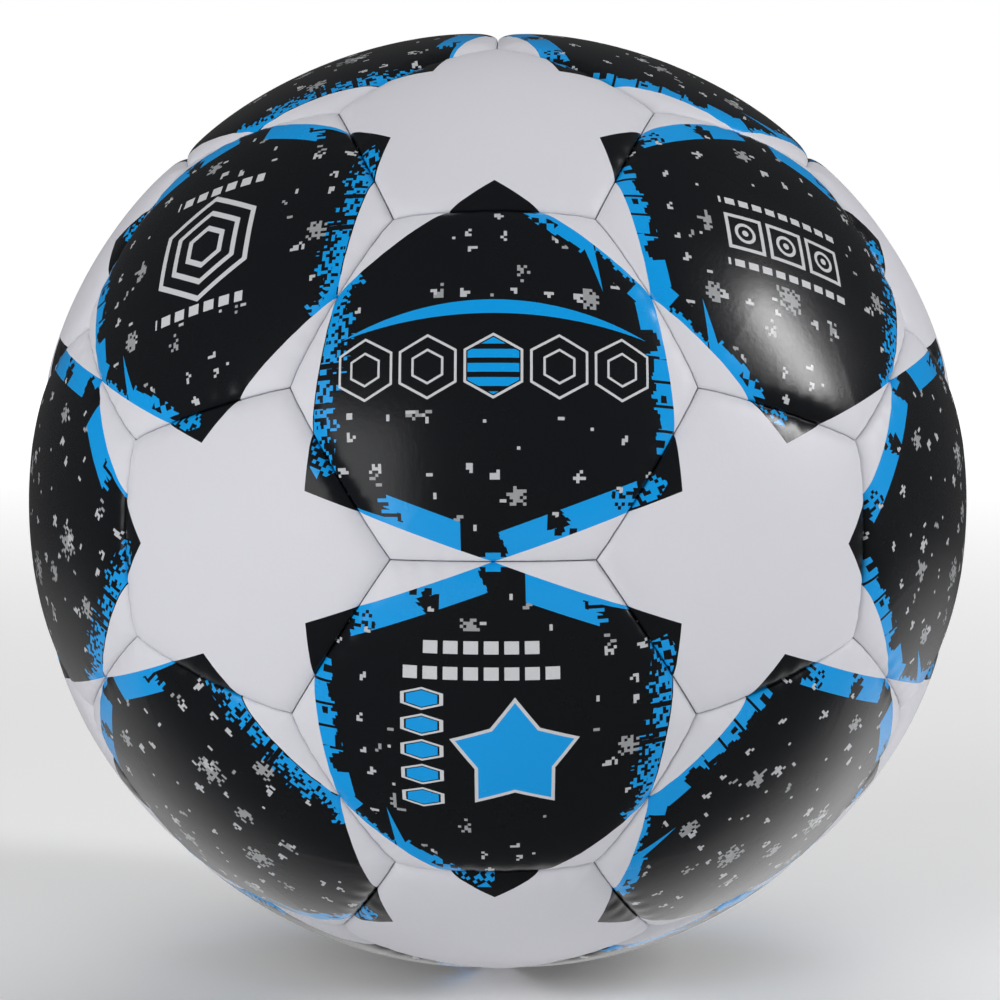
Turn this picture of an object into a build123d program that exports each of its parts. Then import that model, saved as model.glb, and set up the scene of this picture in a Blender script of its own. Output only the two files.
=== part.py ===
"""A size 5 stitched football of 32 panels: 20 hexagons and 12 pentagons.

The origin is the centre of the ball and +Z is up. The ball stands with a seam between two
hexagons at its lowest point, and the pattern's twofold axes lie along X, Y and Z.

From the outside in, each panel is a printed cover whose rim is turned down into the seam, a
foam pad and a woven lining. Thread laces the turned-down rims together, a bladder holds the
air, and its valve opens in the middle of a hexagon at the back of the ball.
"""

import os
from math import acos, atan, cos, degrees, radians, sin, sqrt, tan

from build123d import *

# ------------------------------------------------------------ driving dimensions, mm
BALL_RADIUS = 110.0         # 691 mm round, inside the 680 to 700 mm of a size 5 ball

COVER_SKIN = 1.2            # printed synthetic leather
FOAM_THICKNESS = 1.5
LINING_THICKNESS = 1.55     # layers of woven cloth
GLUE_LINE = 0.05            # between one layer and the next

RIM_CLEARANCE = 0.1         # from a cover's rim to the middle of its seam
RIM_THICKNESS = 1.0         # the part of the cover that is turned down
RIM_DEPTH = 4.2             # from the ball's surface to the rim's lower edge
SHOULDER_RADIUS = 2.6       # where the skin turns down into the seam
PAD_INSET = 2.05            # foam and lining stop this far from the middle of the seam
PAD_SHOULDER_RADIUS = 1.2

THREAD_WIDTH = 0.8          # flattened by the pull
STITCH_WIDTH = 0.5          # the thread is pulled thin where it crosses the rims
STITCH_HOLE_DIAMETER = 0.8
STITCH_DEPTH = 3.3          # below the ball's surface
STITCHES_PER_SEAM = 7
STITCH_SPACING = 5.2
THREAD_TAIL = 2.0           # past the last stitch of a seam

BLADDER_THICKNESS = 0.9
VALVE_PATCH_DIAMETER = 40.0
VALVE_PATCH_THICKNESS = 0.5
BALANCE_PATCH_DIAMETER = 40.0
BALANCE_PATCH_THICKNESS = 1.55     # weighs as much as the valve and its patch

FLANGE_DIAMETER = 26.0
FLANGE_THICKNESS = 1.0
HOUSING_DIAMETER = 10.0
HOUSING_TAIL = 12.0         # how far the housing reaches inwards past its flange
HOUSING_TOP_GAP = 0.3       # between the housing's shoulder and the skin above it
NECK_DIAMETER = 6.4
NECK_RECESS = 0.9           # the neck ends this far below the ball's surface
PLUG_DIAMETER = 4.4
PLUG_HEAD_DIAMETER = 6.0
PLUG_HEAD_THICKNESS = 1.5
PLUG_CLEARANCE = 0.05
NEEDLE_BORE_DIAMETER = 2.0
VALVE_CLEARANCE = 0.1       # all round, where the valve passes through a layer

# ------------------------------------------------------------ radii of the layers
FOAM_RADIUS = BALL_RADIUS - COVER_SKIN - GLUE_LINE
LINING_RADIUS = FOAM_RADIUS - FOAM_THICKNESS - GLUE_LINE
BLADDER_RADIUS = LINING_RADIUS - LINING_THICKNESS - GLUE_LINE
PATCH_RADIUS = BLADDER_RADIUS - BLADDER_THICKNESS - GLUE_LINE
FLANGE_RADIUS = PATCH_RADIUS - VALVE_PATCH_THICKNESS - GLUE_LINE
STITCH_RADIUS = BALL_RADIUS - STITCH_DEPTH

# every panel's layers lie between these heights over the ball's centre
LAYERS_FLOOR = 0.8 * BALL_RADIUS
LAYERS_CEILING = 1.1 * BALL_RADIUS

# ------------------------------------------------------------ angles of the pattern
GOLDEN = (1 + sqrt(5)) / 2
HEXAGON_SIDE_ANGLE = atan(1 / GOLDEN**2)            # from a hexagon's middle to its side
HEXAGON_TO_PENTAGON = acos(sqrt((5 + 2 * sqrt(5)) / 15))
PENTAGON_SIDE_ANGLE = HEXAGON_TO_PENTAGON - HEXAGON_SIDE_ANGLE
STITCH_SPAN = degrees(STITCH_SPACING * (STITCHES_PER_SEAM - 1) / STITCH_RADIUS)
THREAD_SPAN = STITCH_SPAN + degrees(2 * THREAD_TAIL / STITCH_RADIUS)

CENTRE = (0, 0, 0)
POLES_ALONG_Y = (90, 0, 0)  # keeps a sphere's poles out of the panel that is cut from it


# ------------------------------------------------------------ directions of the panels
def signed_turns(first, second, third):
    """Every sign and cyclic order of three coordinates, as unit vectors from the top down."""
    directions = []
    for signs in [(a, b, c) for a in (1, -1) for b in (1, -1) for c in (1, -1)]:
        x, y, z = (sign * size for sign, size in zip(signs, (first, second, third)))
        for turned in ((x, y, z), (y, z, x), (z, x, y)):
            direction = Vector(*turned).normalized()
            if all((direction - other).length > 0.1 for other in directions):
                directions.append(direction)
    return sorted(directions, key=lambda d: (-round(d.Z, 3), round(d.Y, 3), round(d.X, 3)))


def nearest(direction, others):
    """The others that are nearest to a direction, leaving out the direction itself."""
    gaps = [(direction - other).length for other in others]
    least = min(gap for gap in gaps if gap > 0.1)
    return [other for other, gap in zip(others, gaps) if 0.1 < gap < least + 0.01]


PENTAGONS = signed_turns(1, GOLDEN, 0)
HEXAGONS = sorted(signed_turns(1, 1, 1) + signed_turns(0, GOLDEN, 1 / GOLDEN),
                  key=lambda d: (-round(d.Z, 3), round(d.Y, 3), round(d.X, 3)))
VALVE_DIRECTION = Vector(0, GOLDEN, 1 / GOLDEN).normalized()


def hexagon_place(direction):
    """Local Z runs out through a hexagon's middle, and Y towards a neighbouring hexagon."""
    neighbour = nearest(direction, HEXAGONS)[0]
    return Plane(origin=CENTRE, x_dir=neighbour.cross(direction), z_dir=direction)


def pentagon_place(direction):
    """Local Z runs out through a pentagon's middle, and X through one of its corners."""
    neighbour = nearest(direction, PENTAGONS)[0]
    corner = neighbour - direction * neighbour.dot(direction)
    return Plane(origin=CENTRE, x_dir=corner, z_dir=direction)


def has_valve(direction):
    return (direction - VALVE_DIRECTION).length < 0.1


# ------------------------------------------------------------ building blocks
def seam_directions(sides, side_angle):
    """For each side of a panel: the direction of its seam's middle, and the seam plane's
    normal, which points away from the panel."""
    for side in range(sides):
        turn = radians(360 / sides * (side + 0.5))
        yield (Vector(cos(turn) * sin(side_angle), sin(turn) * sin(side_angle), cos(side_angle)),
               Vector(cos(turn) * cos(side_angle), sin(turn) * cos(side_angle), -sin(side_angle)))


def panel_wedge(sides, side_angle, radius, inset, shoulder):
    """A wedge of the ball under one panel: its sides lie inset from the seams' planes, its
    top is a piece of a sphere, and the edges round that top are rounded off."""
    with BuildPart() as wedge:
        Sphere(radius, rotation=POLES_ALONG_Y)
        split(bisect_by=Plane.XY.offset(LAYERS_FLOOR))
        for seam, across in seam_directions(sides, side_angle):
            split(bisect_by=Plane(origin=-inset * across, x_dir=seam, z_dir=across),
                  keep=Keep.BOTTOM)
        if shoulder:
            fillet(wedge.faces().sort_by(Axis.Z)[-1].edges(), radius=shoulder)
    return wedge.part


def panel_cover(sides, side_angle):
    """The printed skin with its rim turned down all round, and the rim's stitch holes."""
    outside = panel_wedge(sides, side_angle, BALL_RADIUS, RIM_CLEARANCE, SHOULDER_RADIUS)
    inside = panel_wedge(sides, side_angle, BALL_RADIUS - COVER_SKIN,
                         RIM_CLEARANCE + RIM_THICKNESS, SHOULDER_RADIUS - RIM_THICKNESS)
    with BuildPart() as cover:
        add(outside)
        add(inside, mode=Mode.SUBTRACT)
        Sphere(BALL_RADIUS - RIM_DEPTH, rotation=POLES_ALONG_Y, mode=Mode.SUBTRACT)
        for seam, across in seam_directions(sides, side_angle):
            with BuildSketch(Plane(origin=CENTRE, x_dir=seam, z_dir=across)):
                with PolarLocations(STITCH_RADIUS, STITCHES_PER_SEAM, start_angle=-STITCH_SPAN / 2,
                                    angular_range=STITCH_SPAN, endpoint=True):
                    Circle(STITCH_HOLE_DIAMETER / 2)
            extrude(amount=-(RIM_CLEARANCE + 1.2 * RIM_THICKNESS), mode=Mode.SUBTRACT)
    return cover.part


def panel_pad(sides, side_angle, radius, thickness, shoulder):
    """One padding layer under a cover."""
    wedge = panel_wedge(sides, side_angle, radius, PAD_INSET, shoulder)
    with BuildPart() as pad:
        add(wedge)
        Sphere(radius - thickness, rotation=POLES_ALONG_Y, mode=Mode.SUBTRACT)
    return pad.part


def drilled(part, diameter):
    """A layer with the hole that the valve passes through."""
    with BuildPart() as layer:
        add(part)
        with BuildSketch(Plane.XY):
            Circle(diameter / 2 + VALVE_CLEARANCE)
        extrude(amount=LAYERS_CEILING, mode=Mode.SUBTRACT)
    return layer.part


def disc_under(radius, diameter, thickness):
    """A round patch bent to a sphere's inner face, in the middle of its top."""
    with BuildPart() as disc:
        with BuildSketch(Plane.XY):
            Circle(diameter / 2)
        extrude(amount=LAYERS_CEILING)
        Sphere(radius, rotation=POLES_ALONG_Y, mode=Mode.INTERSECT)
        Sphere(radius - thickness, rotation=POLES_ALONG_Y, mode=Mode.SUBTRACT)
    return disc.part


def ring_pieces(width, piece_span, count, spread):
    """Pieces of a flat ring round the ball's centre at the stitches' depth, each piece_span
    degrees long, spread evenly either side of the top."""
    reach = 1.1 * STITCH_RADIUS
    flare = reach * tan(radians(piece_span / 2))
    with BuildSketch(Plane.XZ) as pieces:
        with PolarLocations(0, count, start_angle=90 - spread / 2, angular_range=spread,
                            endpoint=True):
            Polygon((0, 0), (reach, -flare), (reach, flare), align=None)
        Circle(STITCH_RADIUS + width / 2, mode=Mode.INTERSECT)
        Circle(STITCH_RADIUS - width / 2, mode=Mode.SUBTRACT)
    return pieces.sketch


def write(part, name):
    part.label = name
    export_step(part, f"parts/{name}.step")


def write_panels(name, directions, place, plain, with_valve_hole):
    """Each panel's cover is a part of its own."""
    for number, direction in enumerate(directions, start=1):
        master = with_valve_hole if has_valve(direction) else plain
        with BuildPart() as panel:
            with Locations(place(direction).location):
                add(master)
        write(panel.part, f"{name}_{number:02d}")


def write_pads(name, directions, place, plain, with_valve_hole):
    """The same layer of every hexagon, or of every pentagon, is one group of solids."""
    with BuildPart() as pads:
        for direction in directions:
            with Locations(place(direction).location):
                add(with_valve_hole if has_valve(direction) else plain)
    write(pads.part, name)


os.makedirs("parts", exist_ok=True)

# ------------------------------------------------------------ covers
hexagon_cover = panel_cover(6, HEXAGON_SIDE_ANGLE)
pentagon_cover = panel_cover(5, PENTAGON_SIDE_ANGLE)
write_panels("hexagon_panel", HEXAGONS, hexagon_place, hexagon_cover,
             drilled(hexagon_cover, NECK_DIAMETER))
write_panels("pentagon_panel", PENTAGONS, pentagon_place, pentagon_cover, None)

# ------------------------------------------------------------ foam and woven lining
for layer, radius, thickness, shoulder in (
        ("foam", FOAM_RADIUS, FOAM_THICKNESS, PAD_SHOULDER_RADIUS),
        ("lining", LINING_RADIUS, LINING_THICKNESS, 0)):
    hexagon_pad = panel_pad(6, HEXAGON_SIDE_ANGLE, radius, thickness, shoulder)
    pentagon_pad = panel_pad(5, PENTAGON_SIDE_ANGLE, radius, thickness, shoulder)
    write_pads(f"hexagon_{layer}", HEXAGONS, hexagon_place, hexagon_pad,
               drilled(hexagon_pad, HOUSING_DIAMETER))
    write_pads(f"pentagon_{layer}", PENTAGONS, pentagon_place, pentagon_pad, None)

# ------------------------------------------------------------ seam thread
# Local Z points at the middle of a seam, which runs along X. A rail of thread lies inside
# each of the two rims, and stitches cross from one rail to the other.
rail_start = RIM_CLEARANCE + RIM_THICKNESS
rail_end = rail_start + THREAD_WIDTH
rail_arc = ring_pieces(THREAD_WIDTH, THREAD_SPAN, 1, 0)
stitch_arcs = ring_pieces(STITCH_WIDTH, degrees(STITCH_WIDTH / STITCH_RADIUS), STITCHES_PER_SEAM,
                          STITCH_SPAN)
with BuildPart() as seam_thread:
    extrude(rail_arc, amount=rail_end, both=True)
    extrude(rail_arc, amount=rail_start, both=True, mode=Mode.SUBTRACT)
    extrude(stitch_arcs, amount=rail_end, both=True)

hexagon_seams = []
pentagon_seams = []
for hexagon in HEXAGONS:
    for other in nearest(hexagon, HEXAGONS):
        middle = (hexagon + other).normalized()
        if all((middle - seam.z_dir).length > 0.1 for seam in hexagon_seams):
            hexagon_seams.append(Plane(origin=CENTRE, x_dir=hexagon.cross(other), z_dir=middle))
    for pentagon in nearest(hexagon, PENTAGONS):
        middle = hexagon * sin(PENTAGON_SIDE_ANGLE) + pentagon * sin(HEXAGON_SIDE_ANGLE)
        pentagon_seams.append(Plane(origin=CENTRE, x_dir=hexagon.cross(pentagon), z_dir=middle))

for name, seams in (("hexagon_seam_thread", hexagon_seams),
                    ("pentagon_seam_thread", pentagon_seams)):
    with BuildPart() as threads:
        with Locations(*[seam.location for seam in seams]):
            add(seam_thread.part)
    write(threads.part, name)

# ------------------------------------------------------------ bladder and its patches
valve_place = hexagon_place(VALVE_DIRECTION)
balance_place = hexagon_place(-VALVE_DIRECTION)

with BuildPart() as bladder_shell:
    Sphere(BLADDER_RADIUS, rotation=POLES_ALONG_Y)
    Sphere(BLADDER_RADIUS - BLADDER_THICKNESS, rotation=POLES_ALONG_Y, mode=Mode.SUBTRACT)
drilled_shell = drilled(bladder_shell.part, HOUSING_DIAMETER)
with BuildPart() as bladder:
    with Locations(valve_place.location):
        add(drilled_shell)
write(bladder.part, "bladder")

drilled_patch = drilled(disc_under(PATCH_RADIUS, VALVE_PATCH_DIAMETER, VALVE_PATCH_THICKNESS),
                        HOUSING_DIAMETER)
with BuildPart() as valve_patch:
    with Locations(valve_place.location):
        add(drilled_patch)
write(valve_patch.part, "valve_patch")

balance_disc = disc_under(PATCH_RADIUS, BALANCE_PATCH_DIAMETER, BALANCE_PATCH_THICKNESS)
with BuildPart() as balance_patch:
    with Locations(balance_place.location):
        add(balance_disc)
write(balance_patch.part, "balance_patch")

# ------------------------------------------------------------ valve
housing_end = FLANGE_RADIUS - HOUSING_TAIL
housing_shoulder = BALL_RADIUS - COVER_SKIN - HOUSING_TOP_GAP
neck_end = BALL_RADIUS - NECK_RECESS

flange = disc_under(FLANGE_RADIUS, FLANGE_DIAMETER, FLANGE_THICKNESS)
with BuildPart() as housing:
    add(flange)
    with BuildSketch(Plane.XY.offset(housing_end)):
        Circle(HOUSING_DIAMETER / 2)
    extrude(amount=housing_shoulder - housing_end)
    with BuildSketch(Plane.XY.offset(housing_shoulder)):
        Circle(NECK_DIAMETER / 2)
    extrude(amount=neck_end - housing_shoulder)
    with BuildSketch(Plane.XY.offset(housing_end)):
        Circle(PLUG_DIAMETER / 2 + PLUG_CLEARANCE)
    extrude(amount=neck_end - housing_end, mode=Mode.SUBTRACT)
with BuildPart() as valve_housing:
    with Locations(valve_place.location):
        add(housing.part)
write(valve_housing.part, "valve_housing")

with BuildPart() as plug:
    with BuildSketch(Plane.XY.offset(housing_end - PLUG_HEAD_THICKNESS)):
        Circle(PLUG_HEAD_DIAMETER / 2)
    extrude(amount=PLUG_HEAD_THICKNESS)
    with BuildSketch(Plane.XY.offset(housing_end)):
        Circle(PLUG_DIAMETER / 2)
    extrude(amount=neck_end - housing_end)
    with BuildSketch(Plane.XY.offset(housing_end - PLUG_HEAD_THICKNESS)):
        Circle(NEEDLE_BORE_DIAMETER / 2)
    extrude(amount=neck_end - housing_end + PLUG_HEAD_THICKNESS, mode=Mode.SUBTRACT)
with BuildPart() as valve_plug:
    with Locations(valve_place.location):
        add(plug.part)
write(valve_plug.part, "valve_plug")
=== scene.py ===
"""The looks of a 32-panel stitched football, built round the CAD frame.

Each printed cover is a thin closed skin with soft shoulders that are pulled down into the
seams. Its print is worked out in the panel's own flat coordinates, where every great circle
of the ball is a straight line, so that stars and bands meet exactly across the seams.
"""

import math

import bmesh
import bpy
import numpy as np
from mathutils import Matrix, Vector


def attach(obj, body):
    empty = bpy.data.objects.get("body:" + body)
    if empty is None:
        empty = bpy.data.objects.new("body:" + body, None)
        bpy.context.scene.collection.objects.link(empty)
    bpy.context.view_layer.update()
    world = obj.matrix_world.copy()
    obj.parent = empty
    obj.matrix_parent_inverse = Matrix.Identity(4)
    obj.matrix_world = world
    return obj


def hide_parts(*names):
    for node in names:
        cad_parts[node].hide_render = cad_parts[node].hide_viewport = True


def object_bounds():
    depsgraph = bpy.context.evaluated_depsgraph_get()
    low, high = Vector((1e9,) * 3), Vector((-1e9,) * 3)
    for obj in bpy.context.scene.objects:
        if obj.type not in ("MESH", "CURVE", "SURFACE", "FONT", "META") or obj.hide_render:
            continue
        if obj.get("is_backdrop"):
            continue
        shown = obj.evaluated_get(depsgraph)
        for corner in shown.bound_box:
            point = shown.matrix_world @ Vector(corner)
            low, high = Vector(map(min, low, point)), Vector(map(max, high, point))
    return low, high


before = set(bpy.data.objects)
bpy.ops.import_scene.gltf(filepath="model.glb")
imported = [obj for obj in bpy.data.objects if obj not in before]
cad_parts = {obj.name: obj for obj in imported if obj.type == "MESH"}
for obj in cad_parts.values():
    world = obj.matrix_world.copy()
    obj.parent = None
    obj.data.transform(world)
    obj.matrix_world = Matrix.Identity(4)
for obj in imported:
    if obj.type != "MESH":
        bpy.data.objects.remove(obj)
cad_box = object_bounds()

# ------------------------------------------------------------ sizes, in millimetres
MM = 0.001
BALL_RADIUS = 110.0
COVER_SKIN = 1.2
RIM_CLEARANCE = 0.1
RIM_THICKNESS = 1.0
RIM_DEPTH = 4.2
SPECK_DOT = 0.72            # the square dots of the grey specks
BAND_DOT = 0.85             # and of the blue bands' torn edges
BAND_WIDTH = 6.3            # the blue blocks beside a seam
CHIP_EDGE = 31.0            # from a pentagon's middle to its blue chips' edge, at the seam
SHOULDER_REACH = 4.0        # how far from the rim the skin starts to turn down
SHOULDER_DROP = 1.2         # and how deep it is where it meets the rim
INNER_SHOULDER = 1.6        # the same turn on the inside of the skin, as deep as it is wide
NECK_HOLE_RADIUS = 3.3      # the hole round the valve's neck

CROWN = 1.0                 # how much the inflated panel stands over its seams
CROWN_REACH = 6.5
PUCKER = 0.16               # the pull of each stitch on the skin beside it
PUCKER_REACH = 2.6
PUCKER_INSET = 1.4          # where the pull is greatest
CORNER_DIMPLE = 0.5         # where three seams meet
CORNER_REACH = 3.0

STITCH_SPACING = 5.2
STITCHES_PER_SEAM = 7
STITCH_SPAN = STITCH_SPACING * (STITCHES_PER_SEAM - 1)
LACING_RADIUS = BALL_RADIUS - 3.3   # how far from the ball's middle the thread runs
RAIL_THREAD_RADIUS = 0.38
STITCH_THREAD_RADIUS = 0.3
RAIL_OFFSET = RIM_CLEARANCE + RIM_THICKNESS + 0.4
THREAD_TAIL = 2.0           # of a rail beyond its last stitch
THREAD_SIDES = 8
RAIL_STEPS = 12

COLUMNS_PER_SIDE = 40       # of each panel's mesh
SHOULDER_RINGS = 8
MIDDLE_RINGS = 12

# ------------------------------------------------------------ the studio, in metres
FLOOR = -BALL_RADIUS * MM
FLOOR_RADIUS = 6.0
FLOOR_CORNERS = 96
CAMERA_LENS = 145.3         # millimetres, on a sensor 36 mm wide
CAMERA_AZIMUTH = 0.5        # degrees, from the front and upwards
CAMERA_ELEVATION = 6.75
CAMERA_DISTANCE = 0.952
CAMERA_AIM = Vector((0.0005, 0, 0.0002))

ROOM_LIGHT = 0.29           # how bright the room is as light, behind the ball, and reflected
ROOM_SEEN = 1.0
ROOM_REFLECTED = 0.06
LOW_SHEEN = 1.3             # the pale part low behind the ball, and its share on the left
LOW_LEFT_SHEEN = 0.4

# ------------------------------------------------------------ the colours of the print
WHITE = (0.70, 0.70, 0.75, 1)
SOILED_WHITE = (0.60, 0.60, 0.62, 1)
BLACK = (0.006, 0.007, 0.009, 1)
BLUE = (0.0, 0.33, 0.80, 1)
GREY = (0.33, 0.34, 0.35, 1)
PALE_GREY = (0.52, 0.53, 0.55, 1)
OUTLINE_WHITE = (0.62, 0.63, 0.65, 1)

# ------------------------------------------------------------ angles of the pattern
GOLDEN = (1 + math.sqrt(5)) / 2
HEXAGON_SIDE_ANGLE = math.atan(1 / GOLDEN**2)
HEXAGON_TO_PENTAGON = math.acos(math.sqrt((5 + 2 * math.sqrt(5)) / 15))
PENTAGON_SIDE_ANGLE = HEXAGON_TO_PENTAGON - HEXAGON_SIDE_ANGLE
STAR_TIP_ANGLE = math.radians(31.72)    # a star's tips touch the next stars' tips
STAR_NOTCH_ANGLE = math.radians(12.6)   # and its notches reach this near its middle


def signed_turns(first, second, third):
    """Every sign and cyclic order of three coordinates, as unit vectors."""
    directions = []
    for signs in [(a, b, c) for a in (1, -1) for b in (1, -1) for c in (1, -1)]:
        x, y, z = (sign * size for sign, size in zip(signs, (first, second, third)))
        for turned in ((x, y, z), (y, z, x), (z, x, y)):
            direction = Vector(turned).normalized()
            if all((direction - other).length > 0.1 for other in directions):
                directions.append(direction)
    return directions


def from_the_top(directions):
    """The order in which the CAD numbers its panels."""
    return sorted(directions, key=lambda d: (-round(d.z, 3), round(d.y, 3), round(d.x, 3)))


def nearest(direction, others):
    """The others that are nearest to a direction, leaving out the direction itself."""
    gaps = [(direction - other).length for other in others]
    least = min(gap for gap in gaps if gap > 0.1)
    return [other for other, gap in zip(others, gaps) if 0.1 < gap < least + 0.01]


PENTAGONS = from_the_top(signed_turns(1, GOLDEN, 0))
HEXAGONS = from_the_top(signed_turns(1, 1, 1) + signed_turns(0, GOLDEN, 1 / GOLDEN))

FRONT_UPPER = Vector((0, -GOLDEN, 1 / GOLDEN)).normalized()
FRONT_LOWER = Vector((0, -GOLDEN, -1 / GOLDEN)).normalized()
UPPER_LEFT = Vector((-1, -1, 1)).normalized()
UPPER_RIGHT = Vector((1, -1, 1)).normalized()
VALVE_SIDE = -FRONT_LOWER


def same(direction, other):
    """Whether two of the panels' or the seams' directions are one."""
    return (direction - other).length < 0.1


def turned_to(direction, target, axis):
    """The panel's own axes: Z out through its middle, and X or Y turned to a target."""
    flat = (target - direction * target.dot(direction)).normalized()
    x = flat if axis == "X" else flat.cross(direction)
    return Matrix((x, direction.cross(x), direction)).transposed()


def print_target(direction):
    """The neighbouring hexagon that the head of this hexagon's print points at. The upper
    front panel is printed head down, and the others point up or outwards."""
    neighbours = nearest(direction, HEXAGONS)
    if same(direction, FRONT_UPPER):
        return min(neighbours, key=lambda n: n.z)
    if direction.z > 0 or same(direction, FRONT_LOWER):
        return max(neighbours, key=lambda n: (round(n.z, 3), -n.y))
    return max(neighbours, key=lambda n: (round(n.z, 3), n.y))


# ------------------------------------------------------------ shader expressions
class Field:
    """A socket whose value varies over a surface, so that maths on it reads as maths."""

    def __init__(self, paint, socket):
        self.paint = paint
        self.socket = socket

    def maths(self, operation, *others):
        return self.paint.maths(operation, self, *others)

    def __add__(self, other):
        return self.maths("ADD", other)

    def __sub__(self, other):
        return self.maths("SUBTRACT", other)

    def __mul__(self, other):
        return self.maths("MULTIPLY", other)

    def __truediv__(self, other):
        return self.maths("DIVIDE", other)

    def __rsub__(self, other):
        return self.paint.maths("SUBTRACT", other, self)

    def __lt__(self, other):
        return self.maths("LESS_THAN", other)

    def __gt__(self, other):
        return self.maths("GREATER_THAN", other)

    def __neg__(self):
        return self.maths("MULTIPLY", -1)

    def __abs__(self):
        return self.maths("ABSOLUTE")

    def floor(self):
        return self.maths("FLOOR")

    def either(self, other):
        return self.maths("MAXIMUM", other)

    def between(self, low, high):
        return (self > low) * (self < high)

    __radd__ = __add__


class Paint:
    """One material and its node tree."""

    def __init__(self, name):
        self.material = bpy.data.materials.new(name)
        self.material.use_nodes = True
        self.tree = self.material.node_tree
        self.tree.nodes.clear()

    def node(self, kind, settings=None, inputs=None, output=0):
        """Adds any node. Its settings are set first, and then its sockets' values or links."""
        node = self.tree.nodes.new(kind)
        for setting, value in (settings or {}).items():
            setattr(node, setting, value)
        for key, value in (inputs or {}).items():
            if isinstance(value, Field):
                self.tree.links.new(value.socket, node.inputs[key])
            else:
                node.inputs[key].default_value = value
        return Field(self, node.outputs[output]) if node.outputs else None

    def maths(self, operation, *values):
        return self.node("ShaderNodeMath", {"operation": operation}, dict(enumerate(values)))

    def vector(self, x, y, z=0.0):
        return self.node("ShaderNodeCombineXYZ", inputs={0: x, 1: y, 2: z})

    def parts(self, vector):
        split = self.tree.nodes.new("ShaderNodeSeparateXYZ")
        self.tree.links.new(vector.socket, split.inputs[0])
        return tuple(Field(self, output) for output in split.outputs)

    def mix(self, mask, under, over):
        """The colour under, with the colour over laid on it where the mask is 1."""
        return self.node("ShaderNodeMix", {"data_type": "RGBA"},
                         {0: mask, 6: under, 7: over}, output=2)

    def chance(self, x, y, seed):
        """An even random number from 0 to 1, the same all over one whole-number cell."""
        return self.node("ShaderNodeTexWhiteNoise", {"noise_dimensions": "3D"},
                         {"Vector": self.vector(x, y, seed)})

    def noise(self, scale, detail, roughness=0.5):
        return self.node("ShaderNodeTexNoise", inputs={
            "Scale": scale, "Detail": detail, "Roughness": roughness, "Vector": self.place()})

    def place(self):
        """Metres in the piece's own coordinates."""
        return self.node("ShaderNodeTexCoord", output=3)

    def ramp(self, value, low, high, start, end):
        return self.node("ShaderNodeMapRange", {"interpolation_type": "SMOOTHSTEP"},
                         {0: value, 1: low, 2: high, 3: start, 4: end})

    def bump(self, height, distance, strength):
        return self.node("ShaderNodeBump", inputs={"Height": height, "Distance": distance,
                                                   "Strength": strength})

    def surface(self, **sockets):
        """Ends the tree with a surface whose sockets are given by name."""
        inputs = {name.replace("_", " "): value for name, value in sockets.items()}
        shader = self.node("ShaderNodeBsdfPrincipled", inputs=inputs)
        self.node("ShaderNodeOutputMaterial", inputs={0: shader})
        return self.material


# ------------------------------------------------------------ the print on the covers
def flat_place(paint):
    """Millimetres across and up the panel's own flat coordinates."""
    x, y, _ = paint.parts(paint.node("ShaderNodeUVMap", {"uv_map": "Print"}))
    return x * BALL_RADIUS, y * BALL_RADIUS


def side_line(tip_angle, notch_angle, half_turn):
    """The straight side of a star from a tip to a notch, in flat coordinates: the direction
    of its normal, seen from the tip, its distance from the middle, and where it starts."""
    tip = Vector((math.tan(tip_angle), 0)) * BALL_RADIUS
    notch = Vector((math.cos(half_turn), math.sin(half_turn)))
    notch = notch * math.tan(notch_angle) * BALL_RADIUS
    along = (notch - tip).normalized()
    normal = Vector((along.y, -along.x))
    return math.atan2(normal.y, normal.x), normal.dot(tip), along.dot(tip)


def folded(paint, x, y, turn, first):
    """Distance from the middle, the number of the sector, and the angle off its middle line,
    for sectors one turn wide, the first of them centred on the angle first."""
    radius = paint.maths("SQRT", x * x + y * y)
    angle = paint.maths("ARCTAN2", y, x) - first
    sector = (angle / turn + 0.5).floor()
    return radius, sector, angle - sector * turn


def speck_layer(paint, x, y, seed, spacing, smallest, largest):
    """Broken clusters of square dots, one in each cell, fullest in the middle. A cluster with
    a negative radius is left out."""
    column = (x / SPECK_DOT).floor()
    row = (y / SPECK_DOT).floor()
    grain = paint.chance(column, row, 3.0)
    cells = paint.tree.nodes.new("ShaderNodeTexVoronoi")
    cells.voronoi_dimensions = "2D"
    cells.inputs["Scale"].default_value = 1.0
    scale = SPECK_DOT / spacing
    at = paint.vector(column * scale + seed, row * scale)
    paint.tree.links.new(at.socket, cells.inputs["Vector"])
    gap = Field(paint, cells.outputs["Distance"]) * spacing
    pick = paint.parts(Field(paint, cells.outputs["Color"]))[0]
    reach = pick * (largest - smallest) + smallest
    return (grain > gap / reach.either(0.01) * 0.95 - 0.08) * (gap < reach)


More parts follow.
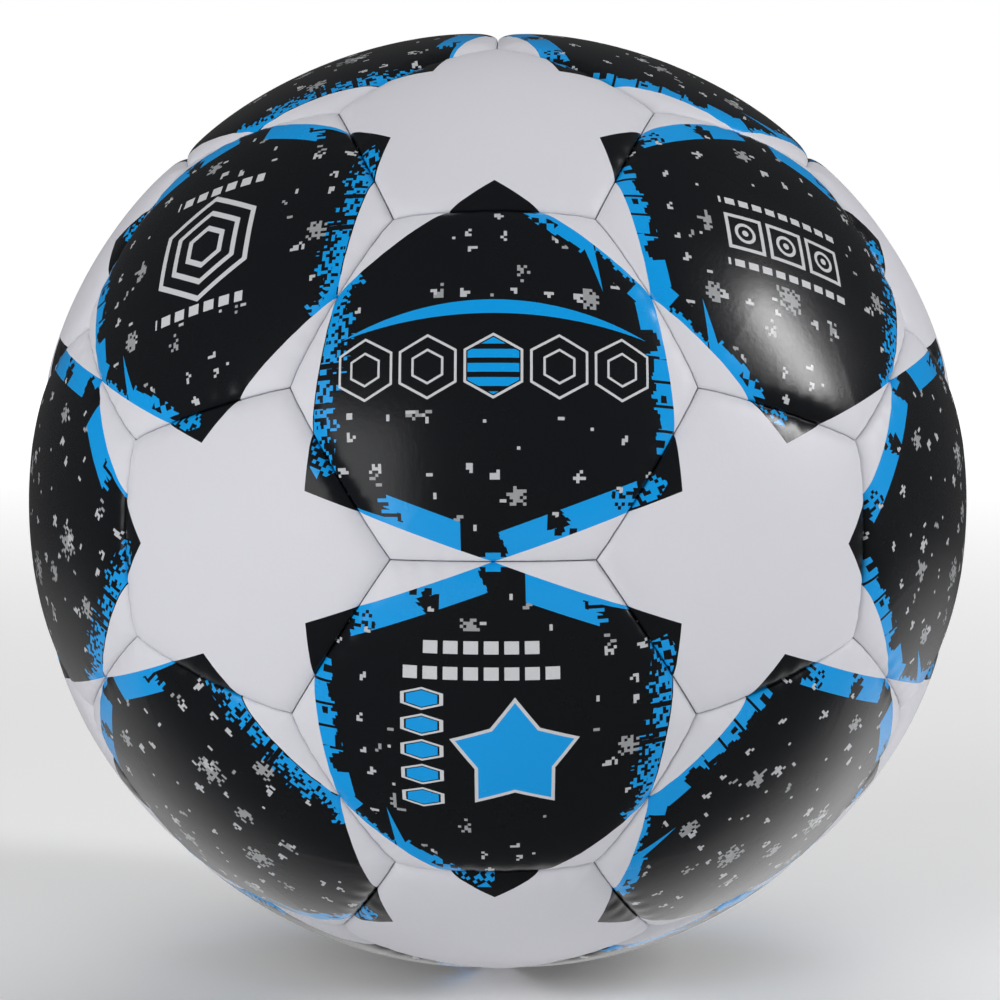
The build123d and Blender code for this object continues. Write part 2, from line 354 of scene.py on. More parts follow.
def blue_bands(paint, x, y, radius, sector, off, inward, along):
    """The six styles of broken blue band, one along each side of the black field."""
    beside = abs(radius * paint.maths("SINE", off))     # from the line through the cusp
    seam_gap = BALL_RADIUS * math.tan(HEXAGON_SIDE_ANGLE) - radius * paint.maths("COSINE", off)
    right = off < 0                     # clockwise of the cusp, seen from outside
    left = 1 - right
    head = sector.between(-0.5, 0.5)
    lower_left = sector.between(0.5, 1.5).either(sector < -1.5)     # it spans the half turn
    lower_right = (1 - head) * (1 - lower_left)

    def cell(value, size):
        return (value / size).floor()

    fine = paint.chance(cell(x, BAND_DOT), cell(y, BAND_DOT), 11.0)
    coarse = paint.chance(cell(x, 2 * BAND_DOT), cell(y, 2 * BAND_DOT), 12.0)
    by_row = paint.chance(cell(y, 1.3), sector, 13.0)
    by_row_fine = paint.chance(cell(y, BAND_DOT), sector, 14.0)
    by_step = paint.chance(cell(along, 1.6), sector, 15.0)
    by_step_fine = paint.chance(cell(along, 0.9), sector, 16.0)
    tear = by_row_fine - 0.5            # the ragged ends of a bar, row by row

    # two solid blocks with a torn step between them
    first = (beside > tear - inward * 0.35 + 3.3) * (beside < 11.9)
    second = (beside > tear * 2 - inward * 0.8 + 19.5) * (along < tear * 3 + 36)
    worn = (fine > 0.72) * (along > 30)
    crumbs = beside.between(10.5, 21.0) * (inward < by_step * 2.6 + 0.4) * (coarse > 0.3)
    style_a = (first.either(second) * (inward < BAND_WIDTH) * (1 - worn)).either(crumbs)

    # one long block, torn at its outer end, that thins to a point along the edge
    block = (beside > 7.2) * (beside < tear * 3 + 24.5) * (inward < BAND_WIDTH)
    bitten = (fine > 0.62) * (beside > 20) * (inward < 3.4)
    wedge = (beside > 20) * (inward < 3.2 - beside * 0.08)
    style_b = (block * (1 - bitten)).either(wedge)

    # a short block by the cusp, then three blocks parted by thin slits
    foot = (along < 8.8) * (inward < 5.2)
    thin = (along < 16) * (inward < by_step * 1.3 + 0.9)
    slit = paint.maths("FRACT", y / 5.6) < 0.12
    blocks = along.between(14, 41) * (inward < 5.6 - by_row_fine * 2.0) * (1 - slit)
    bites = (coarse > 0.84) * (inward > 1.6)
    style_c = foot.either(thin).either(blocks * (1 - bites))

    # dense dots that thin out inwards
    dots = (inward > 0.3) * (inward < by_row * 5.0 + 2.6) * (fine > inward * 0.07 + 0.18)
    style_d = dots * (by_row > 0.14)

    # a broken line by the cusp, a blade that points inwards, then a solid band
    line = (inward < by_step_fine * 1.5 + 0.5) * (fine > 0.25) * (along > 3.0)
    blade = (along > 18.0 - inward * 1.05) * (along < 22.8 - inward * 1.6)
    band = (along > 18.5) * (inward < 4.8 - by_step * 1.5)
    holes = (along > 27) * (coarse < 0.42) * (inward > 1.3)
    heel = (along < 4.6) * (inward < 4.8)
    style_e = heel.either(line).either(blade).either(band * (1 - holes)) * (along < 42)

    # almost bare: blue only beside the cusp and in the notch
    bits = inward < by_step_fine * 3.4 + 0.8
    style_f = bits * ((along < 7.5).either(along > 39)) * (fine > 0.3)

    bands = (head * left * style_a).either(head * right * style_b)
    bands = bands.either(lower_left * right * style_c).either(lower_left * left * style_e)
    bands = bands.either(lower_right * left * style_d).either(lower_right * right * style_f)
    bridge = (seam_gap < 2.3) * (beside < 5.0) * (coarse > 0.25)
    return bands.either(bridge) * (inward > 0.0)


def hexagon_outline(x, y, size, width):
    """A ring in the shape of a hexagon that stands on one corner, and its inside."""
    across = abs(x)
    up = abs(y)
    reach = across.either(across * 0.5 + up * (math.sqrt(3) / 2))
    return abs(reach - size) < width / 2, reach < size - width


def arc_emblem(paint, x, y):
    """A blue arc over a row of outlined hexagons. It is printed upside down on its panel."""
    x = -x
    y = -1.6 - y
    height = 13.4 - x * x * 0.0054
    thickness = 3.2 - x * x * 0.0028
    arc = (abs(y - height) < thickness / 2) * (abs(x) < 35)
    pitch = 14.0
    number = (x / pitch + 0.5).floor()
    ring, inside = hexagon_outline(x - number * pitch, y, 6.0, 0.55)
    row = abs(number) < 2.5
    stripes = (paint.maths("FRACT", (y + 20.0) / 3.1) < 0.62) * (abs(number) < 0.5)
    inner, _ = hexagon_outline(x - number * pitch, y, 3.2, 0.5)
    clear = y.between(-9.0, 17.0) * (height > y - 3.0)
    pale = (ring * row).either(inner * row * (abs(number) > 0.5))
    return arc.either(inside * row * stripes), pale, clear


def star_emblem(paint, x, y):
    """A blue star beside a column of flat blue hexagons, all outlined, under dashed lines."""
    radius, _, off = folded(paint, x - 4.6, y + 4.1, math.tau / 5, math.tau / 4)
    reach = radius * paint.maths("COSINE", abs(off) - math.radians(54))
    star = reach < 7.9
    outline = (reach < 8.65) * (1 - star)
    pitch = 6.3
    number = ((y + 2.7) / pitch + 0.5).floor()
    ring, inside = hexagon_outline((x + 15.4) * 0.5, y + 2.7 - number * pitch, 2.15, 0.42)
    column = abs(number) < 2.5
    dash = paint.maths("FRACT", (x + 2.0) / 4.4) < 0.72
    rows = (y.between(20.6, 23.6) * (abs(x + 2.0) < 13.2)).either(
        y.between(14.6, 17.6) * (abs(x + 2.0) < 17.6))
    pale = outline.either(ring * column).either(dash * rows)
    clear = y.between(-20.0, 25.5) * (abs(x + 0.5) < 21.5)
    return star.either(inside * column), pale, clear


def nested_emblem(paint, x, y):
    """Two outlined hexagons, one inside the other, between short dashed lines."""
    ring, _ = hexagon_outline(x, y, 12.0, 1.3)
    inner, _ = hexagon_outline(x, y, 8.2, 1.3)
    core, _ = hexagon_outline(x, y, 4.4, 1.3)
    dash = paint.maths("FRACT", (x + 40.0) / 4.2) < 0.66
    rows = abs(abs(y) - 16.6) < 1.3
    pale = ring.either(inner).either(core).either(dash * rows * (abs(x) < 12.5))
    return None, pale, abs(x).either(abs(y)) < 19.0


def tile_emblem(paint, x, y):
    """Three outlined square tiles, each round a small ring, between dashed lines."""
    pitch = 11.0
    number = (x / pitch + 0.5).floor()
    along = x - number * pitch
    square = abs(along).either(abs(y))
    tile = abs(square - 4.4) < 0.45
    radius = paint.maths("SQRT", along * along + y * y)
    ring = abs(radius - 2.3) < 0.4
    dot = radius < 0.8
    shown = abs(number) < 1.5
    dash = paint.maths("FRACT", (x + 40.0) / 3.6) < 0.7
    rows = abs(abs(y) - 8.6) < 0.9
    pale = (tile.either(ring).either(dot) * shown).either(dash * rows * (abs(x) < 16.5))
    return None, pale, (abs(x) < 20.0) * (abs(y) < 12.0)


def leather_relief(paint):
    """The fine pebble of the coated cover, with a few long soft creases."""
    grain = paint.noise(2600.0, 2.0)
    pebble = paint.noise(900.0, 3.0)
    crease = paint.noise(90.0, 4.0, 0.55)
    return grain * 0.25 + pebble * 0.5 + crease


def printed_surface(paint, colour, inked):
    """Satin coating with glossier ink, scuffed very slightly by handling."""
    scuff = paint.noise(60.0, 5.0, 0.6)
    roughness = 0.43 - inked * 0.17 + (scuff - 0.5) * 0.14
    relief = paint.bump(leather_relief(paint) + inked * 0.12, 0.00012, 0.55)
    return paint.surface(Base_Color=colour, Roughness=roughness, Normal=relief,
                         Coat_Weight=inked * 0.3, Coat_Roughness=0.2, IOR=1.4)


def soil(paint, colour):
    """A faint grey mottling over the white."""
    cloud = paint.noise(22.0, 4.0, 0.6)
    return paint.mix(paint.ramp(cloud, 0.35, 0.75, 0.0, 0.10), colour, SOILED_WHITE)


def hexagon_print(name, emblem=None):
    """Black field with three cusps and three notches, blue bands, grey specks, emblem."""
    paint = Paint(name)
    x, y = flat_place(paint)
    normal, distance, start = side_line(
        HEXAGON_SIDE_ANGLE, HEXAGON_TO_PENTAGON - STAR_NOTCH_ANGLE, math.pi / 3)
    radius, sector, off = folded(paint, x, y, math.tau / 3, math.tau / 4)
    lean = abs(off) - normal
    inward = distance - radius * paint.maths("COSINE", lean)
    along = radius * paint.maths("SINE", lean) - start
    field = inward > 0
    bands = blue_bands(paint, x, y, radius, sector, off, inward, along)
    room = inward > 5.0
    if emblem:
        blue, pale, _ = emblem(paint, x, y)
        on_dots = [(value / SPECK_DOT).floor() * SPECK_DOT for value in (x, y)]
        room = room * (1 - emblem(paint, *on_dots)[2])
    patches = speck_layer(paint, x, y, 40.0, 16.5, -1.2, 4.3)
    flecks = speck_layer(paint, x, y, 0.0, 8.6, 0.3, 1.8)
    colour = paint.mix(patches * room, BLACK, GREY)
    colour = paint.mix(flecks * room, colour, PALE_GREY)
    colour = paint.mix(bands, colour, BLUE)
    if emblem:
        colour = paint.mix(blue, colour, BLUE) if blue else colour
        colour = paint.mix(pale, colour, OUTLINE_WHITE)
    colour = paint.mix(field, soil(paint, WHITE), colour)
    return printed_surface(paint, colour, field)


def pentagon_print():
    """The body of the white star, with a black notch in the middle of each side."""
    paint = Paint("pentagon print")
    x, y = flat_place(paint)
    normal, distance, _ = side_line(STAR_TIP_ANGLE, STAR_NOTCH_ANGLE, math.pi / 5)
    radius, sector, off = folded(paint, x, y, math.tau / 5, 0.0)
    outward = radius * paint.maths("COSINE", abs(off) - normal) - distance
    field = outward > 0
    seam_gap = CHIP_EDGE - radius * paint.maths("COSINE", math.pi / 5 - abs(off))
    fine = paint.chance((x / BAND_DOT).floor(), (y / BAND_DOT).floor(), 21.0)
    odd = paint.chance(sector, off > 0, 22.0)
    chips = (seam_gap < 2.6) * (fine > 0.5) * (odd > 0.45) * (outward > 0.5)
    colour = paint.mix(chips, BLACK, BLUE)
    colour = paint.mix(field, soil(paint, WHITE), colour)
    return printed_surface(paint, colour, field)


# ------------------------------------------------------------ materials inside the ball
def foam_paint():
    """Pale closed-cell foam, with its cells just showing."""
    paint = Paint("closed cell foam")
    cells = paint.node("ShaderNodeTexVoronoi", inputs={"Scale": 1400.0, "Vector": paint.place()})
    tone = paint.noise(60.0, 3.0)
    colour = paint.mix(tone, (0.78, 0.76, 0.66, 1), (0.88, 0.86, 0.78, 1))
    return paint.surface(Base_Color=colour, Roughness=0.85 + (tone - 0.5) * 0.1,
                         Normal=paint.bump(cells, 0.0003, 0.6))


def woven_paint():
    """Unbleached cloth whose weave runs through all three directions."""
    paint = Paint("laminated woven cloth")
    x, y, z = paint.parts(paint.place())
    pitch = math.tau / 0.0011
    weave = paint.maths("SINE", x * pitch) * paint.maths("SINE", y * pitch)
    weave = weave + paint.maths("SINE", z * pitch)
    tone = paint.noise(120.0, 4.0)
    colour = paint.mix(tone, (0.66, 0.60, 0.46, 1), (0.80, 0.76, 0.64, 1))
    return paint.surface(Base_Color=colour, Roughness=0.9 - tone * 0.1,
                         Normal=paint.bump(weave, 0.0002, 0.7))


def thread_paint():
    """Pale thread with a slanting twist, whose grooves are darkened with painted shade."""
    paint = Paint("waxed polyester thread")
    x, y, z = paint.parts(paint.place())
    twist = paint.maths("SINE", (x + y + z) * (math.tau / 0.0012))
    # painted shade: the colour darkens where the twist's bump sinks into its grooves
    colour = paint.mix(twist * 0.5 + 0.5, (0.55, 0.54, 0.50, 1), (0.80, 0.79, 0.74, 1))
    return paint.surface(Base_Color=colour, Roughness=0.55 + twist * 0.08,
                         Normal=paint.bump(twist, 0.00012, 0.8))


def rubber_paint(name, dark, light, roughness):
    """Dull rubber, mottled between two tones."""
    paint = Paint(name)
    tone = paint.noise(140.0, 5.0, 0.6)
    grain = paint.noise(1800.0, 2.0)
    colour = paint.mix(tone, dark, light)
    return paint.surface(Base_Color=colour, Roughness=roughness + (tone - 0.5) * 0.16,
                         Normal=paint.bump(grain * 0.4 + tone, 0.0002, 0.5))


# ------------------------------------------------------------ the covers' meshes
def turned_edge(reach, drop, depth):
    """Steps round a quarter of an ellipse from the flat skin to the rim, as distances beyond
    the rim's face and depths."""
    steps = [math.radians(90 * step / SHOULDER_RINGS) for step in range(SHOULDER_RINGS + 1)]
    return [(reach * (1 - math.sin(a)), depth + drop * (1 - math.cos(a))) for a in steps]


def cover_section(full_inset, hole_inset):
    """The cover from its middle over the shoulder, down the rim and back underneath, as
    (distance from the seam, depth below the ball's surface, the part of the skin)."""
    first = full_inset if hole_inset is None else hole_inset
    near = [4.5, 5.1, 5.9, 6.9, 8.0, 9.4, 11.0]     # the rings grow wider beyond the shoulder
    far = [first - (first - near[-1]) * step / MIDDLE_RINGS for step in range(MIDDLE_RINGS)]
    section = [(inset, 0.0, "outside") for inset in far + near[::-1]]
    for beyond, depth in turned_edge(SHOULDER_REACH, SHOULDER_DROP, 0.0):
        section.append((RIM_CLEARANCE + beyond, depth, "outside"))
    section.append((RIM_CLEARANCE, 0.5 * (SHOULDER_DROP + RIM_DEPTH), "rim"))
    section.append((RIM_CLEARANCE, RIM_DEPTH, "rim"))
    inner_rim = RIM_CLEARANCE + RIM_THICKNESS
    section.append((inner_rim, RIM_DEPTH, "rim"))
    inner = [(inner_rim + beyond, depth, "inside")
             for beyond, depth in turned_edge(INNER_SHOULDER, INNER_SHOULDER, COVER_SKIN)]
    section += inner[::-2]
    flat_insets = (6.0, 11.0, first * 0.6, first * 0.9, first)
    return section + [(inset, COVER_SKIN, "inside") for inset in flat_insets]


def relief(kind, inset, along, corner_gap, phase):
    """How far the outside is drawn in beside the seam, in millimetres."""
    if kind != "outside":
        return np.zeros_like(along)
    stitched = np.abs(along) < STITCH_SPACING * (STITCHES_PER_SEAM / 2)
    pull = np.where(stitched, 0.5 + 0.5 * np.cos(math.tau * along / STITCH_SPACING), 0.4)
    uneven = 1 + 0.35 * np.sin(along * 0.31 + phase)
    crown = CROWN * (1 + 0.12 * np.sin(along * 0.11 + 2 * phase)) * math.exp(-inset / CROWN_REACH)
    near_stitch = math.exp(-((inset - PUCKER_INSET) / PUCKER_REACH) ** 2)
    drawn = crown + PUCKER * pull * uneven * near_stitch
    return drawn + CORNER_DIMPLE * np.exp(-(corner_gap / CORNER_REACH) ** 2)


def cover_mesh(name, sides, side_angle, place, phase, with_hole):
    """One panel's cover, with its flat coordinates and a roomy map for baking."""
    columns = sides * COLUMNS_PER_SIDE
    turn = math.tau / sides
    step = np.arange(columns)
    on_side = (step % COLUMNS_PER_SIDE) / COLUMNS_PER_SIDE
    side_middle = (step // COLUMNS_PER_SIDE + 0.5) * turn
    lean = np.arctan((2 * on_side - 1) * math.tan(turn / 2))
    angle = side_middle + lean
    straight = math.tan(side_angle) / np.cos(lean)
    along = math.tan(side_angle) * np.tan(lean) * BALL_RADIUS * math.cos(side_angle)
    corner_along = math.tan(side_angle) * math.tan(turn / 2) * BALL_RADIUS * math.cos(side_angle)

    full_inset = BALL_RADIUS * math.sin(side_angle) * math.cos(side_angle)
    hole_share = NECK_HOLE_RADIUS / (BALL_RADIUS * math.tan(side_angle))
    hole_inset = full_inset * (1 - hole_share) if with_hole else None
    section = cover_section(full_inset, hole_inset)

    points, flats = [], []
    for inset, depth, kind in section:
        share = max(1 - inset / full_inset, 0.0)
        blend = min(max((share - 0.1) / 0.6, 0.0), 1.0)
        blend = blend * blend * (3 - 2 * blend)
        reach = share * (math.tan(side_angle) * (1 - blend) + straight * blend)
        flat = np.stack([reach * np.cos(angle), reach * np.sin(angle)], 1)
        corner_gap = np.hypot(np.maximum(corner_along - np.abs(along) * share, 0.0), inset)
        radius = BALL_RADIUS - depth - relief(kind, inset, along * share, corner_gap, phase)
        out = np.concatenate([flat, np.ones((columns, 1))], 1)
        out /= np.linalg.norm(out, axis=1)[:, None]
        points.append(out * radius[:, None])
        flats.append(flat)

    turned = np.array(place)
    rows = len(section)
    vertices = np.concatenate(points) @ turned.T * MM
    flat_of = np.concatenate(flats)
    across = (step + 0.5) / columns
    faces, where = [], []
    kinds = [kind for _, _, kind in section]
    bake_scale = 0.45 * math.cos(turn / 2) / math.tan(side_angle)

    def bake_place(row, column, kind, wrapped):
        """The outside fills the bake map, over a small inside and the rim as a strip."""
        flat = flat_of[row * columns + column]
        if kind == "outside":
            return 0.5 + flat[0] * bake_scale, 0.54 + flat[1] * bake_scale
        if kind == "inside":
            return 0.06 + flat[0] * bake_scale * 0.09, 0.10 + flat[1] * bake_scale * 0.09
        band = row - kinds.index("rim") + 1
        return 0.01 + 0.98 * ((column + wrapped * columns) / columns), 0.004 + 0.012 * band

    links = [(row, row + 1) for row in range(rows - 1)]
    if with_hole:
        links.append((rows - 1, 0))
    for low, high in links:
        pair = {kinds[low], kinds[high]}
        if high == 0 or pair == {"rim", "inside"}:
            kind = "inside"
        else:
            kind = "rim" if "rim" in pair else kinds[low]
        for column in range(columns):
            after = (column + 1) % columns
            wrapped = after == 0
            corners = ((low, column, False), (low, after, wrapped),
                       (high, after, wrapped), (high, column, False))
            if not with_hole and low == 0:
                corners = ((0, 0, False), corners[2], corners[3])
            elif not with_hole and high == rows - 1:
                corners = (corners[0], corners[1], (high, 0, False))
            faces.append([row * columns + at for row, at, _ in reversed(corners)])
            where += [(row, at, kind, turned_round) for row, at, turned_round in reversed(corners)]

    mesh = bpy.data.meshes.new(name)
    mesh.from_pydata([tuple(vertex) for vertex in vertices], [], faces)
    printed = mesh.uv_layers.new(name="Print")
    baked = mesh.uv_layers.new(name="OFBake")
    for number, (row, at, kind, wrapped) in enumerate(where):
        printed.data[number].uv = flat_of[row * columns + at]
        baked.data[number].uv = bake_place(row, at, kind, wrapped)
    mesh.polygons.foreach_set("use_smooth", [True] * len(mesh.polygons))
    if not with_hole:
        drop_unused(mesh)
    mesh.update()
    return mesh


def drop_unused(mesh):
    """Takes away the spare vertices at the two poles."""
    shape = bmesh.new()
    shape.from_mesh(mesh)
    bmesh.ops.delete(shape, geom=[v for v in shape.verts if not v.link_faces], context="VERTS")
    shape.to_mesh(mesh)
    shape.free()


def add_piece(name, mesh, material, node):
    """Adds a visible piece that rides the ball in place of a CAD node."""
    piece = bpy.data.objects.new(name, mesh)
    bpy.context.scene.collection.objects.link(piece)
    mesh.materials.clear()
    mesh.materials.append(material)
    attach(piece, "root")
    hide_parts(node)


def print_of(direction):
    """Which print a hexagon has."""
    if same(direction, FRONT_UPPER):
        return "arc"
    if same(direction, FRONT_LOWER):
        return "star"
    if same(direction, UPPER_LEFT):
        return "nested"
    if same(direction, UPPER_RIGHT):
        return "tiles"
    return "plain"


hexagon_prints = {
    "plain": hexagon_print("hexagon print"),
    "arc": hexagon_print("hexagon print with arc", arc_emblem),
    "star": hexagon_print("hexagon print with star", star_emblem),
    "nested": hexagon_print("hexagon print with nested hexagons", nested_emblem),
    "tiles": hexagon_print("hexagon print with tiles", tile_emblem),
}
pentagon_material = pentagon_print()

for number, direction in enumerate(HEXAGONS, start=1):
    node = f"hexagon_panel_{number:02d}"
    place = turned_to(direction, print_target(direction), "Y")
    mesh = cover_mesh(f"hexagon_cover_{number:02d}", 6, HEXAGON_SIDE_ANGLE, place,
                      phase=number * 1.7, with_hole=same(direction, VALVE_SIDE))
    add_piece(mesh.name, mesh, hexagon_prints[print_of(direction)], node)

for number, direction in enumerate(PENTAGONS, start=1):
    node = f"pentagon_panel_{number:02d}"
    place = turned_to(direction, nearest(direction, PENTAGONS)[0], "X")
    mesh = cover_mesh(f"pentagon_cover_{number:02d}", 5, PENTAGON_SIDE_ANGLE, place,
                      phase=number * 2.3, with_hole=False)
    add_piece(mesh.name, mesh, pentagon_material, node)


# ------------------------------------------------------------ seam thread
def seam_lines():
    """For each kind of seam, the middle direction of every seam and the way it runs."""
    hexagon_seams, pentagon_seams = [], []
    for hexagon in HEXAGONS:
        for other in nearest(hexagon, HEXAGONS):
            middle = (hexagon + other).normalized()
            if all(not same(middle, seam[0]) for seam in hexagon_seams):
                hexagon_seams.append((middle, hexagon.cross(other).normalized()))
        for pentagon in nearest(hexagon, PENTAGONS):
            middle = (hexagon * math.sin(PENTAGON_SIDE_ANGLE)
                      + pentagon * math.sin(HEXAGON_SIDE_ANGLE))
            pentagon_seams.append((middle.normalized(), hexagon.cross(pentagon).normalized()))
    return hexagon_seams, pentagon_seams


class Tree:
    """A Geometry Nodes tree that is written as nested calls."""

    def __init__(self, name, inputs):
        self.tree = bpy.data.node_groups.new(name, "GeometryNodeTree")
        for way in ("INPUT", "OUTPUT"):
            self.tree.interface.new_socket("Geometry", in_out=way,
                                           socket_type="NodeSocketGeometry")
        self.keys = {}
        for label, kind in inputs.items():
            socket = self.tree.interface.new_socket(label, in_out="INPUT", socket_type=kind)
            self.keys[label] = socket.identifier
        self.given = self.tree.nodes.new("NodeGroupInput")
        self.result = self.tree.nodes.new("NodeGroupOutput")

    def node(self, kind, settings=None, inputs=None, output=0):
        node = self.tree.nodes.new(kind)
        for setting, value in (settings or {}).items():
            setattr(node, setting, value)
        for key, value in (inputs or {}).items():
            for item in value if isinstance(value, list) else [value]:
                if isinstance(item, bpy.types.NodeSocket):
                    self.tree.links.new(item, node.inputs[key])
                else:
                    node.inputs[key].default_value = item
        return node.outputs[output]

    def maths(self, operation, first, second):
        return self.node("ShaderNodeMath", {"operation": operation}, {0: first, 1: second})


def lacing_tree(material):
    """Lays a rail of thread on each side of every seam and crosses it with stitches."""
    tree = Tree("seam lacing", {
        "Rail radius": "NodeSocketFloat", "Stitch radius": "NodeSocketFloat",
        "Rail offset": "NodeSocketFloat", "Stitch span": "NodeSocketFloat",
        "Stitches": "NodeSocketInt"})
    node, given = tree.node, tree.given.outputs
    seams = node("GeometryNodeMeshToCurve", inputs={0: given["Geometry"]})
    outward = node("ShaderNodeVectorMath", {"operation": "NORMALIZE"},
                   {0: node("GeometryNodeInputPosition")})
    across = node("ShaderNodeVectorMath", {"operation": "CROSS_PRODUCT"},
                  {0: node("GeometryNodeInputTangent"), 1: outward})
    thread = node("GeometryNodeCurvePrimitiveCircle",
                  inputs={"Resolution": THREAD_SIDES, "Radius": given["Rail radius"]})
    rails = []
    for side in (1.0, -1.0):
        reach = tree.maths("MULTIPLY", given["Rail offset"], side)
        offset = node("ShaderNodeVectorMath", {"operation": "SCALE"}, {0: across, "Scale": reach})
        rail = node("GeometryNodeSetPosition", inputs={"Geometry": seams, "Offset": offset})
        rails.append(node("GeometryNodeCurveToMesh",
                          inputs={0: rail, "Profile Curve": thread, "Fill Caps": True}))
    length = node("GeometryNodeSplineLength")
    margin = tree.maths("SUBTRACT", length, given["Stitch span"])
    half = tree.maths("MULTIPLY", margin, 0.5)
    stop = tree.maths("SUBTRACT", length, half)
    stitched = node("GeometryNodeTrimCurve", {"mode": "LENGTH"},
                    {"Curve": seams, 4: half, 5: stop})
    holes = node("GeometryNodeResampleCurve",
                 inputs={"Curve": stitched, "Count": given["Stitches"]})
    width = tree.maths("MULTIPLY", given["Rail offset"], 2.0)
    stitch = node("GeometryNodeMeshCylinder",
                  inputs={"Vertices": THREAD_SIDES, "Radius": given["Stitch radius"],
                          "Depth": width})
    turn = node("FunctionNodeAlignRotationToVector", {"axis": "Z"}, {"Vector": across})
    stitches = node("GeometryNodeInstanceOnPoints",
                    inputs={"Points": holes, "Instance": stitch, "Rotation": turn})
    joined = node("GeometryNodeJoinGeometry", inputs={0: rails + [stitches]})
    solid = node("GeometryNodeRealizeInstances", inputs={0: joined})
    smooth = node("GeometryNodeSetShadeSmooth", inputs={0: solid})
    dressed = node("GeometryNodeSetMaterial", inputs={0: smooth, "Material": material})
    tree.tree.links.new(dressed, tree.result.inputs[0])
    return tree


def seam_path_mesh(name, seams):
    """One bent line for every seam, in the middle between its two rims."""
    half_angle = (STITCH_SPAN / 2 + THREAD_TAIL) / LACING_RADIUS
    vertices, edges = [], []
    for middle, run in seams:
        first = len(vertices)
        for step in range(RAIL_STEPS + 1):
            angle = half_angle * (2 * step / RAIL_STEPS - 1)
            outward = middle * math.cos(angle) + run * math.sin(angle)
            vertices.append(outward * LACING_RADIUS * MM)
        edges += [(first + step, first + step + 1) for step in range(RAIL_STEPS)]
    mesh = bpy.data.meshes.new(name)
    mesh.from_pydata(vertices, edges, [])
    return mesh


thread_material = thread_paint()
lacing = lacing_tree(thread_material)
lacing_sizes = {
    "Rail radius": RAIL_THREAD_RADIUS * MM,
    "Stitch radius": STITCH_THREAD_RADIUS * MM,
    "Rail offset": RAIL_OFFSET * MM,
    "Stitches": STITCHES_PER_SEAM,
    "Stitch span": STITCH_SPAN * MM,
}
for name, seams in zip(("hexagon_seam_thread", "pentagon_seam_thread"), seam_lines()):
    paths = bpy.data.objects.new(f"{name}_paths", seam_path_mesh(name, seams))
    bpy.context.scene.collection.objects.link(paths)
    modifier = paths.modifiers.new("lacing", "NODES")
    modifier.node_group = lacing.tree
    for label, value in lacing_sizes.items():
        modifier[lacing.keys[label]] = value
    laced = paths.evaluated_get(bpy.context.evaluated_depsgraph_get())
    shape = bpy.data.meshes.new_from_object(laced)
    bpy.data.objects.remove(paths)
    add_piece(f"{name}_lacing", shape, thread_material, name)

# ------------------------------------------------------------ CAD nodes that stay
inner_paints = {
    "foam": foam_paint(),
    "lining": woven_paint(),
    "bladder": rubber_paint("bladder rubber", dark=(0.018, 0.018, 0.02, 1),
                            light=(0.05, 0.05, 0.052, 1), roughness=0.62),
    "patch": rubber_paint("patch rubber", dark=(0.05, 0.045, 0.042, 1),
                          light=(0.10, 0.09, 0.085, 1), roughness=0.75),
    "valve": rubber_paint("valve rubber", dark=(0.012, 0.012, 0.013, 1),
                          light=(0.035, 0.035, 0.037, 1), roughness=0.48),
}
for name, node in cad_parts.items():
    for word, material in inner_paints.items():
        if word in name and not node.hide_render:
            node.data.materials.clear()
            node.data.materials.append(material)
            break


# ------------------------------------------------------------ studio
def bearing(azimuth, elevation):
    """The direction at these angles from the front and upwards, in degrees."""
    a, e = math.radians(azimuth), math.radians(elevation)
    return Vector((math.sin(a) * math.cos(e), -math.cos(a) * math.cos(e), math.sin(e)))


def facing(back):
    """How a lamp or a camera turns to look against a direction."""
    return (-back).to_track_quat("-Z", "Y").to_euler()


def studio_floor():
    """A wide pale disc that the ball stands on. It glows with a painted light, faint under
    the ball and brighter far away, so that it fades into the white room.
    """
    turns = [math.tau * corner / FLOOR_CORNERS for corner in range(FLOOR_CORNERS)]
    vertices = [(FLOOR_RADIUS * math.cos(a), FLOOR_RADIUS * math.sin(a), FLOOR) for a in turns]
    mesh = bpy.data.meshes.new("studio floor")
    mesh.from_pydata(vertices, [], [tuple(range(FLOOR_CORNERS))])
    paint = Paint("pale studio floor with painted glow")
    tone = paint.noise(3.0, 2.0)
    colour = paint.mix(tone, (0.90, 0.90, 0.90, 1), (0.93, 0.93, 0.93, 1))
    x, y, _ = paint.parts(paint.place())
    # painted glow: the floor's emission rises from 0.12 under the ball to 0.75 far away
    away = paint.ramp(paint.maths("SQRT", x * x + y * y), 0.3, 1.6, 0.12, 0.75)
    mesh.materials.append(paint.surface(Base_Color=colour, Roughness=0.9, Emission_Strength=1.0,
                                        Emission_Color=paint.vector(away, away, away)))
    floor = bpy.data.objects.new("studio_floor", mesh)
    floor.visible_glossy = False
    bpy.context.scene.collection.objects.link(floor)
    floor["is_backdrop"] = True


def soft_light(name, azimuth, elevation, distance, width, height, power, in_reflections=True):
    """A rectangular soft light that faces the ball from this direction."""
    light = bpy.data.lights.new(name, "AREA")
    light.shape = "RECTANGLE"
    light.size = width
    light.size_y = height
    light.energy = power
    lamp = bpy.data.objects.new(name, light)
    back = bearing(azimuth, elevation)
    lamp.location = back * distance
    lamp.rotation_euler = facing(back)
    lamp.visible_glossy = in_reflections
    bpy.context.scene.collection.objects.link(lamp)


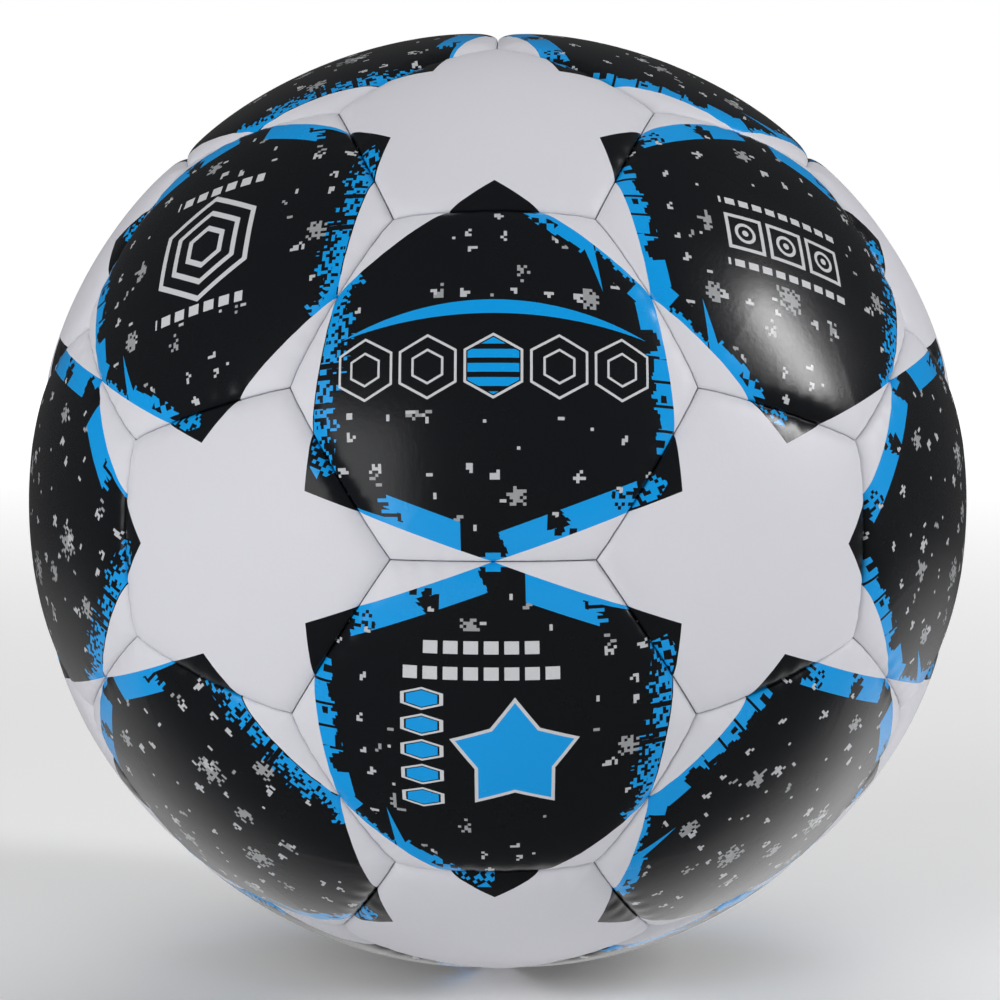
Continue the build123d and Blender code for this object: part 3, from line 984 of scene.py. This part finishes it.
def soft_world():
    """White behind the ball and pale all round. In reflections it is dim, but for a paler
    part low down behind the ball, brighter on the right."""
    world = bpy.data.worlds.new("soft white room")
    world.use_nodes = True
    nodes, links = world.node_tree.nodes, world.node_tree.links

    def remap(value, low, high, start, end):
        node = nodes.new("ShaderNodeMapRange")
        links.new(value, node.inputs["Value"])
        limits = {"From Min": low, "From Max": high, "To Min": start, "To Max": end}
        for name, number in limits.items():
            if isinstance(number, (int, float)):
                node.inputs[name].default_value = number
            else:
                links.new(number, node.inputs[name])
        return node.outputs["Result"]

    def times(first, second):
        node = nodes.new("ShaderNodeMath")
        node.operation = "MULTIPLY"
        links.new(first, node.inputs[0])
        links.new(second, node.inputs[1])
        return node.outputs[0]

    ray = nodes.new("ShaderNodeLightPath").outputs
    toward = nodes.new("ShaderNodeSeparateXYZ")
    links.new(nodes.new("ShaderNodeTexCoord").outputs["Generated"], toward.inputs[0])
    across, away, up = toward.outputs
    low_behind = times(remap(up, -0.15, -0.5, 0, 1), remap(away, 0.2, 0.65, 0, 1))
    sheen = times(low_behind, remap(across, -0.6, 0.6, LOW_LEFT_SHEEN, 1))
    reflected = remap(sheen, 0, 1, ROOM_REFLECTED, LOW_SHEEN)
    direct = remap(ray["Is Camera Ray"], 0, 1, ROOM_LIGHT, ROOM_SEEN)
    background = nodes["Background"]
    background.inputs["Color"].default_value = (1, 1, 1, 1)
    links.new(remap(ray["Is Glossy Ray"], 0, 1, direct, reflected), background.inputs["Strength"])
    bpy.context.scene.world = world


studio_floor()
soft_world()
soft_light("left_softbox", azimuth=-37, elevation=8, distance=1.7,
           width=0.8, height=0.9, power=3.4)
soft_light("right_softbox", azimuth=84, elevation=27, distance=1.6,
           width=0.3, height=0.7, power=10)
soft_light("back_top_light", azimuth=175, elevation=62, distance=1.8,
           width=1.4, height=1.0, power=6.5, in_reflections=False)
soft_light("front_fill", azimuth=-42, elevation=24, distance=2.2,
           width=1.5, height=1.5, power=16.5, in_reflections=False)

bpy.context.scene.view_settings.view_transform = "Standard"

# ------------------------------------------------------------ camera
camera_data = bpy.data.cameras.new("camera")
camera_data.lens = CAMERA_LENS
camera_data.sensor_width = 36
camera = bpy.data.objects.new("camera", camera_data)
back = bearing(CAMERA_AZIMUTH, CAMERA_ELEVATION)
camera.location = CAMERA_AIM + back * CAMERA_DISTANCE
camera.rotation_euler = facing(back)
bpy.context.scene.collection.objects.link(camera)
bpy.context.scene.camera = camera

boxes = [[list(corner) for corner in box] for box in (cad_box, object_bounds())]
